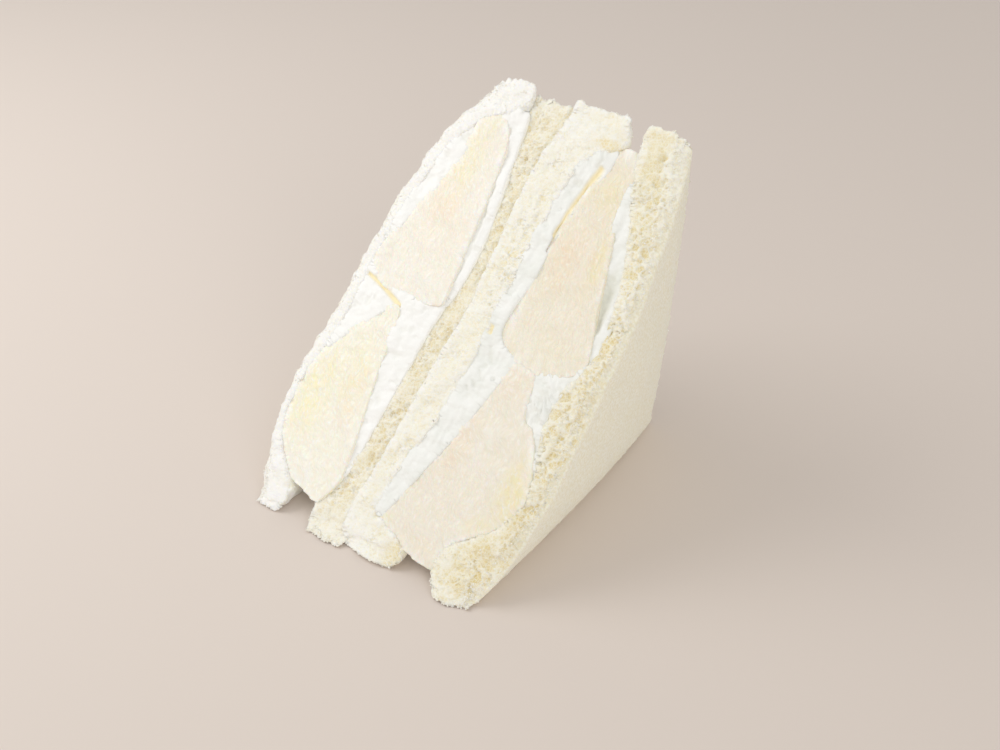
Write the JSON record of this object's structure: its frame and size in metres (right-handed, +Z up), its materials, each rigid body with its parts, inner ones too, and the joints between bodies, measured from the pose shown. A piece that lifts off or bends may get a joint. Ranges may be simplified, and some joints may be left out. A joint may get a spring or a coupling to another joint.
{
  "type": "whipped cream sandwich",
  "caption": "Crustless white bread sandwich with whipped cream and peach, cut corner to corner, its halves side by side on a trimmed edge.",
  "frame": {"origin": "on the surface that the sandwich stands on, midway between the front tips and the back, near the seam between the two halves", "axes": "+X across the layers from the left half to the right half, +Y from the cut faces to the back, +Z up"},
  "size_m": [0.0838, 0.0907, 0.0909],
  "materials": {
    "bread": "matte",
    "cream": "matte",
    "peach": "satin"
  },
  "bodies": {
    "root": {"bread_left_outer": "bread", "bread_left_inner": "bread", "bread_right_inner": "bread", "bread_right_outer": "bread", "cream_left": "cream", "cream_right": "cream", "peach_left_upper": "peach", "peach_left_lower": "peach", "peach_right_upper": "peach", "peach_right_lower": "peach"}
  },
  "joints": []
}
